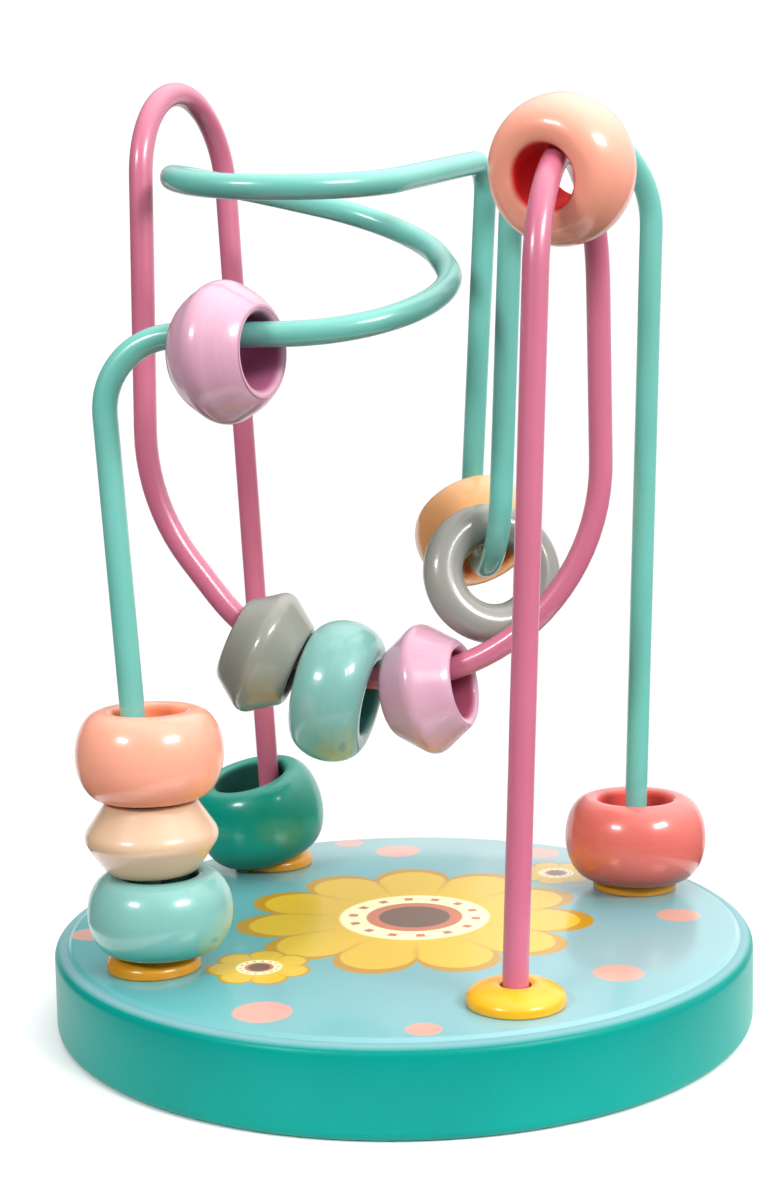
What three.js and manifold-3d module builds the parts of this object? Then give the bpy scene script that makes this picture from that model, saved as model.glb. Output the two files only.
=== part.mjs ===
// A small bead maze: a round board, two bent steel wires that stand on it, and twelve loose beads.
// Millimetres, +Z up. The origin is the centre of the board's underside, and -Y faces the viewer.
import * as THREE from "three";
import { mergeVertices } from "three/addons/utils/BufferGeometryUtils.js";
import Module from "manifold-3d";

const wasm = await Module();
wasm.setup();

// Board and the printed film on its top
const BOARD_DIAMETER = 90;
const BOARD_THICKNESS = 10.6;
const BOARD_EDGE_RADIUS = 1.2;
const FILM_THICKNESS = 0.4;
const FILM_EDGE_INSET = 0.4;

// Posts: where the wires stand, measured in from the board's edge
const POST_EDGE_DISTANCE = 10;
const POSTS = { front: 291, right: 23, left: 210, rear: 122.8 };

// Wires
const WIRE_DIAMETER = 3;
const WIRE_HOLE_FLOOR = 1.7;
const KNEE_HEIGHT = 1.4;
const KNEE_RADIUS = 40;
const FRONT_ARCH_TOP = 106.7;
const FRONT_ARCH_RADIUS = 14.5;
const SWING_BOTTOM = 38;
const SWING_RADIUS = 27.7;
const REAR_ARCH_TOP = 122;
const REAR_ARCH_RADIUS = 12;
const COIL_BOTTOM = 86.4;
const COIL_TOP = 110.4;
const COIL_RADIUS = 17.3;
const DIP_BOTTOM = 56.4;
const DIP_RADIUS = 12;
const RIGHT_ARCH_TOP = 112.2;
const RIGHT_ARCH_RADIUS = 11.2;

// Collars pressed into the board round each post
const COLLAR_DIAMETER = 11.4;
const COLLAR_RIM = 0.7;
const COLLAR_HEIGHT = 2.4;
const SPIGOT_DIAMETER = 6.4;
const SPIGOT_LENGTH = 5;

// Fits
const CLEARANCE = 0.3;
const MIN_STRAIGHT = 0.3;

// Beads: outer diameter, length along the bore, bore
const STACK_BOTTOM = { diameter: 17.5, length: 9.3, bore: 8.8 };
const STACK_MIDDLE = { diameter: 16.1, length: 8.7, bore: 8.2, endDiameter: 10.8 };
const STACK_TOP = { diameter: 17.7, length: 10.6, bore: 8.4 };
const REAR_BEAD = { diameter: 18.8, length: 11.8, bore: 10.2 };
const RIGHT_BEAD = { diameter: 19.2, length: 11, bore: 9.8 };
const COIL_BEAD = { diameter: 16.8, length: 9.8, bore: 8.7, endDiameter: 10.8 };
const SWING_LEFT = { diameter: 16.8, length: 9.2, bore: 8.4, endDiameter: 10.8 };
const SWING_MIDDLE = { diameter: 18.6, length: 9.2, bore: 9.2 };
const SWING_RIGHT = { diameter: 17, length: 9.8, bore: 8.6, endDiameter: 11 };
const DIP_BEAD = { diameter: 16.8, length: 10, bore: 7.6 };
const ARCH_BEAD = { diameter: 17.2, length: 10, bore: 7.4 };
const RING_DIAMETER = 18.6;
const RING_SECTION = 5.2;
const BEAD_LIP = 1;
const DRUM_END_LAND = 0.5;
const RIDGE_DEPTH = 0.6;
const RIDGE_HALF_WIDTH = 1.2;

// Where the beads rest: millimetres off the wire, degrees round a bend, degrees turned in plan or tipped
const STACK_BOTTOM_SHIFT = 1.2;
const STACK_MIDDLE_SHIFT = 1;
const STACK_TOP_SHIFT = 1.6;
const RIGHT_BEAD_SINK = 0.8;
const REAR_BEAD_RISE = 5.7;
const REAR_BEAD_SHIFT = -1.7;
const REAR_BEAD_FORWARD = 1.2;
const REAR_BEAD_LEAN = 12;
const REAR_BEAD_TIP = 10;
const COIL_BEAD_START = 6.2;
const COIL_BEAD_YAW = 18;
const SWING_RIGHT_ANGLE = 80;
const SWING_MIDDLE_ANGLE = 2.8;
const SWING_LEFT_ANGLE = 23.7;
const SWING_LEFT_PITCH = 9;
const SWING_RIGHT_YAW = 12;
const SWING_MIDDLE_YAW = 5;
const ARCH_BEAD_ANGLE = 72;
const ARCH_BEAD_INWARD = 1.9;
const ARCH_BEAD_YAW = 14;
const DIP_BEAD_ANGLE = 47;
const DIP_BEAD_INWARD = 1;
const DIP_BEAD_YAW = 29;
const RING_ANGLE = 28;
const RING_INWARD = -1.9;
const RING_YAW = 15;
const RING_TILT = 16;

// Fineness of the facets
const WIRE_SIDES = 10;
const BEND_STEP = 13;
const ROUND_STEPS = 22;
const BOARD_STEPS = 48;
const ARC_STEPS = 3;

const Z = new THREE.Vector3(0, 0, 1);
const DECK = BOARD_THICKNESS + FILM_THICKNESS;
const COLLAR_TOP = DECK + COLLAR_HEIGHT;
const POST_CIRCLE_RADIUS = BOARD_DIAMETER / 2 - POST_EDGE_DISTANCE;

const radians = THREE.MathUtils.degToRad;
const vector = (x, y, z) => new THREE.Vector3(x, y, z);

function onPostCircle(angle, z) {
  const turn = radians(angle);
  return vector(POST_CIRCLE_RADIUS * Math.cos(turn), POST_CIRCLE_RADIUS * Math.sin(turn), z);
}

// A wire bent round the corners it is given. Each corner is the point where two straight runs would meet,
// with the radius of the bend that replaces it. A bend is no larger than its two runs leave room for.
class BentWire extends THREE.Curve {
  constructor(corners) {
    super();
    this.runs = [];
    this.bends = [];
    this.stations = [];
    const points = corners.map(([point]) => point);
    const turns = corners.map((corner, i) => this.turnAt(points, corner[1], i));
    this.limitBends(points, turns);
    this.layOut(points, turns);
  }

  turnAt(points, radius, i) {
    if (i === 0 || i === points.length - 1) return { reach: 0 };
    const incoming = points[i].clone().sub(points[i - 1]).normalize();
    const outgoing = points[i + 1].clone().sub(points[i]).normalize();
    const sweep = incoming.angleTo(outgoing);
    return { incoming, outgoing, sweep, radius, reach: radius * Math.tan(sweep / 2) };
  }

  limitBends(points, turns) {
    const factors = turns.map(() => 1);
    for (let i = 0; i + 1 < points.length; i++) {
      const room = points[i].distanceTo(points[i + 1]) - MIN_STRAIGHT;
      const share = Math.min(1, room / (turns[i].reach + turns[i + 1].reach));
      factors[i] = Math.min(factors[i], share);
      factors[i + 1] = Math.min(factors[i + 1], share);
    }
    turns.forEach((turn, i) => {
      turn.reach *= factors[i];
      turn.radius *= factors[i];
    });
  }

  layOut(points, turns) {
    const first = points[1].clone().sub(points[0]).normalize();
    this.stations.push({ point: points[0], tangent: first });
    let start = points[0];
    for (let i = 1; i + 1 < points.length; i++) {
      const { incoming, outgoing, sweep, radius, reach } = turns[i];
      const end = points[i].clone().addScaledVector(incoming, -reach);
      const axis = incoming.clone().cross(outgoing).normalize();
      const centre = end.clone().addScaledVector(axis.clone().cross(incoming), radius);
      const bend = { centre, axis, radius, sweep, start: end, incoming };
      this.runs.push({ start, end, direction: incoming });
      this.bends.push(bend);
      const spans = Math.max(1, Math.ceil(sweep / radians(BEND_STEP)));
      for (let k = 0; k <= spans; k++) this.stations.push(placeOnBend(bend, (sweep * k) / spans));
      start = points[i].clone().addScaledVector(outgoing, reach);
    }
    const last = points[points.length - 1];
    const direction = last.clone().sub(start).normalize();
    this.runs.push({ start, end: last, direction });
    this.stations.push({ point: last, tangent: direction });
  }

  getPoint(t) {
    const place = t * (this.stations.length - 1);
    const before = Math.min(Math.floor(place), this.stations.length - 2);
    const from = this.stations[before].point;
    return from.clone().lerp(this.stations[before + 1].point, place - before);
  }

  getTangent(t) {
    const nearest = Math.round(t * (this.stations.length - 1));
    return this.stations[nearest].tangent.clone();
  }

  // Stations are met one by one, so a straight run takes one step and a bend takes several.
  getUtoTmapping(u) {
    return u;
  }
}

function placeOnBend(bend, turned) {
  const arm = bend.start.clone().sub(bend.centre).applyAxisAngle(bend.axis, turned);
  return {
    point: bend.centre.clone().add(arm),
    tangent: bend.incoming.clone().applyAxisAngle(bend.axis, turned),
  };
}

function foot(angle) {
  return [onPostCircle(angle, WIRE_HOLE_FLOOR + CLEARANCE), 0];
}

function knee(angle) {
  return [onPostCircle(angle, COLLAR_TOP + KNEE_HEIGHT), KNEE_RADIUS];
}

const pinkRoute = new BentWire([
  foot(POSTS.front),
  knee(POSTS.front),
  // arch over the front of the board
  [vector(16.3, -30.5, FRONT_ARCH_TOP), FRONT_ARCH_RADIUS],
  [vector(25.6, -3, FRONT_ARCH_TOP), FRONT_ARCH_RADIUS],
  // the long swing under the middle
  [vector(26.2, -3, SWING_BOTTOM), SWING_RADIUS],
  [vector(-17, 3, SWING_BOTTOM + 7.1), SWING_RADIUS],
  [vector(-32.4, 5, SWING_BOTTOM + 28), SWING_RADIUS],
  // arch at the back left
  [vector(-31.5, 5, REAR_ARCH_TOP - 4.6), REAR_ARCH_RADIUS],
  [vector(-23.4, 27, REAR_ARCH_TOP), REAR_ARCH_RADIUS],
  knee(POSTS.rear),
  foot(POSTS.rear),
]);
const [, FRONT_ARCH, , SWING_START, SWING_END] = pinkRoute.bends;

const tealRoute = new BentWire([
  foot(POSTS.left),
  knee(POSTS.left),
  [vector(-34.4, -16.5, COIL_BOTTOM + 0.3), COIL_RADIUS / 2],
  // the coil, one and a half turns
  [vector(11, -23.5, COIL_BOTTOM), COIL_RADIUS],
  [vector(4, 14.9, COIL_TOP - 9), COIL_RADIUS],
  [vector(-33.6, 14.1, COIL_TOP), COIL_RADIUS - 1.6],
  [vector(-13.6, -37.8, COIL_TOP - 11.7), COIL_RADIUS - 1.6],
  [vector(13.2, 17, COIL_TOP), 3.9],
  // the dip in the middle
  [vector(10.2, 21.5, DIP_BOTTOM), DIP_RADIUS],
  [vector(13.1, 0, DIP_BOTTOM), DIP_RADIUS],
  // arch down to the right post
  [vector(15.6, -1, RIGHT_ARCH_TOP), RIGHT_ARCH_RADIUS],
  [vector(34.7, 11, RIGHT_ARCH_TOP - 0.8), RIGHT_ARCH_RADIUS],
  knee(POSTS.right),
  foot(POSTS.right),
]);
const DIP_REAR = tealRoute.bends[7];
const DIP_FRONT = tealRoute.bends[8];
const LEFT_POST = tealRoute.runs[1];
const COIL_RUN = tealRoute.runs[2];
const RIGHT_POST = tealRoute.runs[11];
const REAR_POST = pinkRoute.runs[8];

// Solids joined and cut through manifold-3d

function toSolid(geometry) {
  const bare = geometry.clone();
  bare.deleteAttribute("normal");
  bare.deleteAttribute("uv");
  const merged = mergeVertices(bare);
  return new wasm.Manifold(
    new wasm.Mesh({
      numProp: 3,
      vertProperties: merged.attributes.position.array,
      triVerts: new Uint32Array(merged.index.array),
    }),
  );
}

function toGeometry(solid) {
  const made = solid.getMesh();
  const geometry = new THREE.BufferGeometry();
  geometry.setAttribute("position", new THREE.BufferAttribute(made.vertProperties, 3));
  geometry.setIndex(new THREE.BufferAttribute(made.triVerts, 1));
  geometry.computeVertexNormals();
  return geometry;
}

// A profile of radius and height, turned about Z
function turned(profile, steps = ROUND_STEPS, arcSteps = ARC_STEPS) {
  const points = profile.getPoints(arcSteps);
  return new THREE.LatheGeometry(points, steps).rotateX(Math.PI / 2);
}

function cylinder(radius, low, high) {
  const profile = new THREE.Path();
  profile.moveTo(0, low).lineTo(radius, low).lineTo(radius, high).lineTo(0, high);
  return turned(profile);
}

// Board, film and collars

function boardGeometry() {
  const edge = BOARD_DIAMETER / 2;
  const r = BOARD_EDGE_RADIUS;
  const profile = new THREE.Path();
  profile.moveTo(0, 0).lineTo(edge - r, 0);
  profile.quadraticCurveTo(edge, 0, edge, r);
  profile.lineTo(edge, BOARD_THICKNESS - r);
  profile.quadraticCurveTo(edge, BOARD_THICKNESS, edge - r, BOARD_THICKNESS);
  profile.lineTo(0, BOARD_THICKNESS);
  let board = toSolid(turned(profile, BOARD_STEPS));
  for (const angle of Object.values(POSTS)) {
    const { x, y } = onPostCircle(angle, 0);
    const socket = cylinder(
      SPIGOT_DIAMETER / 2 + CLEARANCE,
      DECK - SPIGOT_LENGTH - CLEARANCE,
      DECK,
    );
    const wireHole = cylinder(WIRE_DIAMETER / 2 + CLEARANCE, WIRE_HOLE_FLOOR, DECK);
    board = board.subtract(toSolid(socket.translate(x, y, 0)));
    board = board.subtract(toSolid(wireHole.translate(x, y, 0)));
  }
  return toGeometry(board);
}

function filmGeometry() {
  const radius = BOARD_DIAMETER / 2 - BOARD_EDGE_RADIUS - FILM_EDGE_INSET;
  const outline = new THREE.Shape().absarc(0, 0, radius, 0, 2 * Math.PI, false);
  for (const angle of Object.values(POSTS)) {
    const { x, y } = onPostCircle(angle, 0);
    const hole = new THREE.Path();
    hole.absarc(x, y, SPIGOT_DIAMETER / 2 + CLEARANCE, 0, 2 * Math.PI, true);
    outline.holes.push(hole);
  }
  return new THREE.ExtrudeGeometry(outline, {
    depth: FILM_THICKNESS,
    bevelEnabled: false,
    curveSegments: BOARD_STEPS / 2,
  });
}

function collarGeometry() {
  const bore = WIRE_DIAMETER / 2 + CLEARANCE;
  const rim = COLLAR_DIAMETER / 2;
  const profile = new THREE.Path();
  profile.moveTo(bore, -SPIGOT_LENGTH).lineTo(SPIGOT_DIAMETER / 2, -SPIGOT_LENGTH);
  profile.lineTo(SPIGOT_DIAMETER / 2, 0).lineTo(rim, 0).lineTo(rim, COLLAR_RIM);
  const rise = COLLAR_HEIGHT - COLLAR_RIM;
  profile.absellipse(bore, COLLAR_RIM, rim - bore, rise, 0, Math.PI / 2, false, 0);
  profile.lineTo(bore, -SPIGOT_LENGTH);
  return turned(profile, ROUND_STEPS, 2);
}

// Wires and beads

function wireGeometry(route) {
  const section = new THREE.Shape().absarc(0, 0, WIRE_DIAMETER / 2, 0, 2 * Math.PI, false);
  return new THREE.ExtrudeGeometry(section, {
    steps: route.stations.length - 1,
    extrudePath: route,
    curveSegments: WIRE_SIDES / 2,
  });
}

// The bore and its rounded lips, from the upper end face round to the lower one
function startAtBore({ length, bore }) {
  const half = length / 2;
  const wall = bore / 2;
  const profile = new THREE.Path();
  profile.moveTo(wall + BEAD_LIP, half);
  profile.quadraticCurveTo(wall, half, wall, half - BEAD_LIP);
  profile.lineTo(wall, BEAD_LIP - half);
  profile.quadraticCurveTo(wall, -half, wall + BEAD_LIP, -half);
  return profile;
}

function drumGeometry(bead) {
  const half = bead.length / 2;
  const shoulder = bead.bore / 2 + BEAD_LIP + DRUM_END_LAND;
  const swell = bead.diameter / 2 - shoulder;
  const profile = startAtBore(bead);
  profile.lineTo(shoulder, -half);
  profile.absellipse(shoulder, 0, swell, half, -Math.PI / 2, Math.PI / 2, false, 0);
  profile.lineTo(bead.bore / 2 + BEAD_LIP, half);
  return turned(profile);
}

function biconeGeometry(bead) {
  const half = bead.length / 2;
  const end = bead.endDiameter / 2;
  const flank = bead.diameter / 2 - RIDGE_DEPTH;
  const ridge = bead.diameter / 2 + RIDGE_DEPTH;
  const profile = startAtBore(bead);
  profile.lineTo(end, -half);
  profile.lineTo(flank, -RIDGE_HALF_WIDTH);
  profile.quadraticCurveTo(ridge, 0, flank, RIDGE_HALF_WIDTH);
  profile.lineTo(end, half);
  profile.lineTo(bead.bore / 2 + BEAD_LIP, half);
  return turned(profile);
}

function ringGeometry() {
  const middle = (RING_DIAMETER - RING_SECTION) / 2;
  return new THREE.TorusGeometry(middle, RING_SECTION / 2, 10, ROUND_STEPS + 4);
}

// How far a bead's centre drops off its wire: as far as the bore allows, less what the bead's turn in plan,
// its pitch against the wire and the wire's own bend take up over its length
function hang(bead, yaw = 0, bendRadius = Infinity, pitch = 0) {
  const slack = bead.bore / 2 - WIRE_DIAMETER / 2 - CLEARANCE;
  const sideways = (bead.length / 2) * Math.tan(radians(yaw));
  const tipped = (bead.length / 2) * Math.tan(radians(pitch));
  const sag = bead.length ** 2 / (8 * bendRadius);
  return Math.sqrt(Math.max(0, slack ** 2 - sideways ** 2)) - tipped - sag;
}

function aim(mesh, direction, yaw = 0) {
  const turn = new THREE.Quaternion().setFromAxisAngle(Z, -radians(yaw));
  mesh.quaternion.setFromUnitVectors(Z, direction).premultiply(turn);
}

function pointAtHeight(run, z) {
  const share = (z - run.start.z) / (run.end.z - run.start.z);
  return run.start.clone().lerp(run.end, share);
}

// A bead standing on a post, its centre at a height, moved to the right of the wire and forward of it
function standOnPost(mesh, post, z, shift = 0, forward = 0) {
  mesh.position.copy(pointAtHeight(post, z));
  mesh.position.x += shift;
  mesh.position.y -= forward;
  const up = post.direction.clone().multiplyScalar(Math.sign(post.direction.z));
  mesh.userData.joint = { type: "slide", axis: up };
}

// A bead threaded on a bend, some degrees round it, moved towards the bend's centre and pitched against
// the wire
function threadOnBend(mesh, bend, degrees, inward, yaw = 0, pitch = 0) {
  const { point } = placeOnBend(bend, radians(degrees));
  const { tangent } = placeOnBend(bend, radians(degrees - pitch));
  const towards = bend.centre.clone().sub(point).normalize();
  aim(mesh, tangent, yaw);
  mesh.position.copy(point).addScaledVector(towards, inward);
  mesh.userData.joint = { type: "hinge", axis: bend.axis, centre: bend.centre };
}

// The part, one mesh for each piece

const maze = new THREE.Group();

function add(name, geometry, colour, roughness, metalness = 0) {
  const material = new THREE.MeshStandardMaterial({ color: colour, roughness, metalness });
  const mesh = new THREE.Mesh(geometry, material);
  mesh.name = name;
  maze.add(mesh);
  return mesh;
}

add("base_board", boardGeometry(), 0x14a79d, 0.35);
add("printed_face", filmGeometry(), 0xa9dcdd, 0.25).position.z = BOARD_THICKNESS;
for (const [name, angle] of Object.entries(POSTS)) {
  add(`collar_${name}`, collarGeometry(), 0xfcdc2f, 0.3).position.copy(onPostCircle(angle, DECK));
}
add("wire_pink", wireGeometry(pinkRoute), 0xf09ab4, 0.3);
add("wire_teal", wireGeometry(tealRoute), 0x7ccfb9, 0.3);

// Three beads stacked on the left post
let stackTop = COLLAR_TOP;
const STACK = [
  ["bead_stack_bottom", drumGeometry(STACK_BOTTOM), STACK_BOTTOM, STACK_BOTTOM_SHIFT, 0xa6ddd5],
  ["bead_stack_middle", biconeGeometry(STACK_MIDDLE), STACK_MIDDLE, STACK_MIDDLE_SHIFT, 0xf9d5b0],
  ["bead_stack_top", drumGeometry(STACK_TOP), STACK_TOP, STACK_TOP_SHIFT, 0xfbb9a0],
];
for (const [name, geometry, bead, shift, colour] of STACK) {
  const mesh = add(name, geometry, colour, 0.2);
  standOnPost(mesh, LEFT_POST, stackTop + bead.length / 2, shift);
  stackTop += bead.length + CLEARANCE;
}

// One bead at the foot of the rear post, tipped against its collar, and one at the foot of the right post
const rearBead = add("bead_rear_post", drumGeometry(REAR_BEAD), 0x0f8f7a, 0.2);
standOnPost(rearBead, REAR_POST, COLLAR_TOP + REAR_BEAD_RISE, REAR_BEAD_SHIFT, REAR_BEAD_FORWARD);
rearBead.rotation.set(radians(REAR_BEAD_TIP), -radians(REAR_BEAD_LEAN), 0);
const rightBead = add("bead_right_post", drumGeometry(RIGHT_BEAD), 0xee7f74, 0.2);
standOnPost(rightBead, RIGHT_POST, COLLAR_TOP - RIGHT_BEAD_SINK + RIGHT_BEAD.length / 2);

// One bead on the coil's lower run, close to the corner of the left post
const coilBead = add("bead_coil", biconeGeometry(COIL_BEAD), 0xe9bad2, 0.2);
aim(coilBead, COIL_RUN.direction, COIL_BEAD_YAW);
coilBead.position.copy(COIL_RUN.start).addScaledVector(COIL_RUN.direction, COIL_BEAD_START);
coilBead.position.z -= hang(COIL_BEAD, COIL_BEAD_YAW);
coilBead.userData.joint = { type: "slide", axis: COIL_RUN.direction };

// Three beads side by side at the bottom of the long swing
const SWING = [
  ["right", SWING_RIGHT, SWING_START, SWING_RIGHT_ANGLE, SWING_RIGHT_YAW, 0, 0xe7b4cd],
  ["middle", SWING_MIDDLE, SWING_END, SWING_MIDDLE_ANGLE, SWING_MIDDLE_YAW, 0, 0xa6ddd5],
  ["left", SWING_LEFT, SWING_END, SWING_LEFT_ANGLE, 0, SWING_LEFT_PITCH, 0xb9bcb2],
];
for (const [name, bead, bend, angle, yaw, pitch, colour] of SWING) {
  const geometry = bead.endDiameter ? biconeGeometry(bead) : drumGeometry(bead);
  const mesh = add(`bead_swing_${name}`, geometry, colour, 0.2);
  threadOnBend(mesh, bend, angle, -hang(bead, yaw, bend.radius, pitch), yaw, pitch);
}

// One bead on the front arch
const archBead = add("bead_arch", drumGeometry(ARCH_BEAD), 0xf4a083, 0.2);
threadOnBend(archBead, FRONT_ARCH, ARCH_BEAD_ANGLE, ARCH_BEAD_INWARD, ARCH_BEAD_YAW);

// One bead and a ring in the dip: the bead on its rear bend, the ring on its front bend
const dipBead = add("bead_dip", drumGeometry(DIP_BEAD), 0xf0a061, 0.2);
threadOnBend(dipBead, DIP_REAR, DIP_BEAD_ANGLE, DIP_BEAD_INWARD, -DIP_BEAD_YAW);
const ring = add("ring_dip", ringGeometry(), 0xb3b4ac, 0.3);
threadOnBend(ring, DIP_FRONT, RING_ANGLE, RING_INWARD);
const ringFront = vector(0, -Math.cos(radians(RING_TILT)), Math.sin(radians(RING_TILT)));
aim(ring, ringFront.applyAxisAngle(Z, radians(RING_YAW)));

export default maze;
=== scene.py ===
"""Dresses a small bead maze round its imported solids.

A painted board carries a printed film, four domed collars, two bent wires and twelve loose beads.
Sizes in the classes are in millimetres. Meshes are made in metres, in the frame of the solids.
"""

import logging
import math
from dataclasses import dataclass
from enum import Enum
from typing import Sequence

import bpy
import numpy as np
from mathutils import Matrix, Vector


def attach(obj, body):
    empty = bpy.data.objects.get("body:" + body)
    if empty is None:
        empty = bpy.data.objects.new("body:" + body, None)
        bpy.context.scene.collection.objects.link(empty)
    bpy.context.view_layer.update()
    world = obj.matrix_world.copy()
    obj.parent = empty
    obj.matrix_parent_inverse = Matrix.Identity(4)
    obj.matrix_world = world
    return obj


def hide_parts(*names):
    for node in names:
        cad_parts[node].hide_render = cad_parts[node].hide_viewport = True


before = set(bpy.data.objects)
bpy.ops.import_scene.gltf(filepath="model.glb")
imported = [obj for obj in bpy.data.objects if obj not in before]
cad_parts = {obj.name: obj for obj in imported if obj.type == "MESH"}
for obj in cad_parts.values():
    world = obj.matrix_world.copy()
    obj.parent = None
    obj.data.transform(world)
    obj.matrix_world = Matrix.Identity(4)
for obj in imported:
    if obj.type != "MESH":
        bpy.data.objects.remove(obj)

MM = 0.001
FULL_TURN = 2 * math.pi
HOLE_SIDES = 40
POINT_MERGE = 1e-7
SEAM_MERGE = 2e-6
FRAME_BODY = "frame"
LATHE_PLACE = "lathe_place"
NOISE_LOW, NOISE_HIGH = 0.2, 0.8
GLOSS_INDEX = 1.5
LOG = logging.getLogger("bead_maze")

Pair = tuple[float, float]
Triple = tuple[float, float, float]
Profile = list[Pair]


def tone(code: str) -> Triple:
    """Turns a six-digit sRGB code into linear colour.

    Args:
        code: Hexadecimal red, green and blue.

    Returns:
        The three linear channels.
    """
    channels = [int(code[i:i + 2], 16) / 255 for i in (0, 2, 4)]
    return tuple(c / 12.92 if c <= 0.04045 else ((c + 0.055) / 1.055) ** 2.4 for c in channels)


class BeadForm(Enum):
    """The turned shapes that the beads come in."""

    DRUM = "drum"
    BICONE = "bicone"
    RING = "ring"


class Post(Enum):
    """The four places where the wires stand, by their angle on the post circle in degrees."""

    FRONT = 291.0
    RIGHT = 23.0
    LEFT = 210.0
    REAR = 122.8


# Bench work


class Bench:
    """Hand work on one mesh at a time through Blender's operators."""

    @staticmethod
    def clear() -> None:
        """Leaves edit mode and deselects everything."""
        if bpy.context.mode != "OBJECT":
            bpy.ops.object.mode_set(mode="OBJECT")
        bpy.ops.object.select_all(action="DESELECT")

    @staticmethod
    def select_only(piece: bpy.types.Object) -> None:
        """Makes one piece the active and only selected one."""
        Bench.clear()
        piece.select_set(True)
        bpy.context.view_layer.objects.active = piece

    @staticmethod
    def name(label: str) -> bpy.types.Object:
        """Names the piece just added and its mesh."""
        piece = bpy.context.object
        piece.name = label
        piece.data.name = label
        return piece

    @staticmethod
    def turn(label: str, profile: Profile, steps: int) -> bpy.types.Object:
        """Draws a closed profile point by point and spins it about Z.

        Args:
            label: Name of the new piece.
            profile: Radius and height of each point in millimetres, in order round the section.
            steps: Number of steps in the full turn.

        Returns:
            The turned piece, at the origin.
        """
        Bench.clear()
        bpy.ops.mesh.primitive_plane_add(size=MM)
        piece = Bench.name(label)
        bpy.ops.object.mode_set(mode="EDIT")
        bpy.ops.mesh.select_mode(type="VERT")
        bpy.ops.mesh.select_all(action="SELECT")
        bpy.ops.mesh.merge(type="CENTER")
        points = [Vector((r * MM, 0, z * MM)) for r, z in profile]
        bpy.ops.transform.translate(value=points[0])
        for before, after in zip(points, points[1:]):
            bpy.ops.mesh.extrude_vertices_move(TRANSFORM_OT_translate={"value": after - before})
        if profile[0][0] > 0:
            home = points[0] - points[-1]
            bpy.ops.mesh.extrude_vertices_move(TRANSFORM_OT_translate={"value": home})
        bpy.ops.mesh.select_all(action="SELECT")
        bpy.ops.mesh.remove_doubles(threshold=POINT_MERGE)
        bpy.ops.mesh.spin(steps=steps, angle=FULL_TURN, center=(0, 0, 0), axis=(0, 0, 1))
        Bench.close(piece)
        Bench.note_lathe_place(piece)
        return piece

    @staticmethod
    def note_lathe_place(piece: bpy.types.Object) -> None:
        """Keeps each point's place on the lathe, in millimetres, for patterns to follow.

        Args:
            piece: The piece as it comes off the lathe, its axis on Z.
        """
        places = np.empty(len(piece.data.vertices) * 3, dtype=np.float32)
        piece.data.vertices.foreach_get("co", places)
        marks = piece.data.attributes.new(LATHE_PLACE, "FLOAT_VECTOR", "POINT")
        marks.data.foreach_set("vector", places / MM)

    @staticmethod
    def close(piece: bpy.types.Object) -> None:
        """Merges doubles, turns all faces outwards and leaves edit mode."""
        bpy.ops.mesh.select_all(action="SELECT")
        bpy.ops.mesh.remove_doubles(threshold=SEAM_MERGE)
        bpy.ops.mesh.normals_make_consistent(inside=False)
        bpy.ops.object.mode_set(mode="OBJECT")

    @staticmethod
    def smooth(piece: bpy.types.Object, degrees: float) -> None:
        """Shades a piece smooth, apart from edges sharper than some degrees."""
        Bench.select_only(piece)
        bpy.ops.object.shade_smooth_by_angle(angle=math.radians(degrees))

    @staticmethod
    def place(piece: bpy.types.Object, where: Matrix) -> None:
        """Moves a piece to its place and puts that place into its mesh."""
        Bench.select_only(piece)
        piece.matrix_world = where
        bpy.ops.object.transform_apply(location=True, rotation=True, scale=True)

    @staticmethod
    def bore(
        piece: bpy.types.Object, centre: Vector, radius: float, low: float, high: float
    ) -> None:
        """Bores an upright round hole.

        Args:
            piece: The piece that is bored.
            centre: A point on the hole's axis, in metres.
            radius: Radius of the hole in millimetres.
            low: Height of the hole's floor in millimetres.
            high: Height of its mouth in millimetres.
        """
        Bench.clear()
        middle = (centre.x, centre.y, (low + high) / 2 * MM)
        bpy.ops.mesh.primitive_cylinder_add(
            vertices=HOLE_SIDES, radius=radius * MM, depth=(high - low) * MM, location=middle
        )
        drill = Bench.name("drill")
        Bench.select_only(piece)
        cut = piece.modifiers.new("bore", "BOOLEAN")
        cut.operation = "DIFFERENCE"
        cut.solver = "EXACT"
        cut.object = drill
        bpy.ops.object.modifier_apply(modifier=cut.name)
        spare = drill.data
        bpy.data.objects.remove(drill)
        bpy.data.meshes.remove(spare)


def arc(centre: Pair, radii: Pair, start: float, stop: float, steps: int) -> Profile:
    """Points along a round or oval corner of a profile.

    Args:
        centre: Radius and height of the corner's centre.
        radii: Its half axes along the radius and the height.
        start: First angle in degrees.
        stop: Last angle in degrees.
        steps: Number of steps from the first to the last.

    Returns:
        The points, both ends included.
    """
    angles = [math.radians(start + (stop - start) * k / steps) for k in range(steps + 1)]
    (x, y), (wide, high) = centre, radii
    return [(x + wide * math.cos(a), y + high * math.sin(a)) for a in angles]


# Finishes


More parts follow.
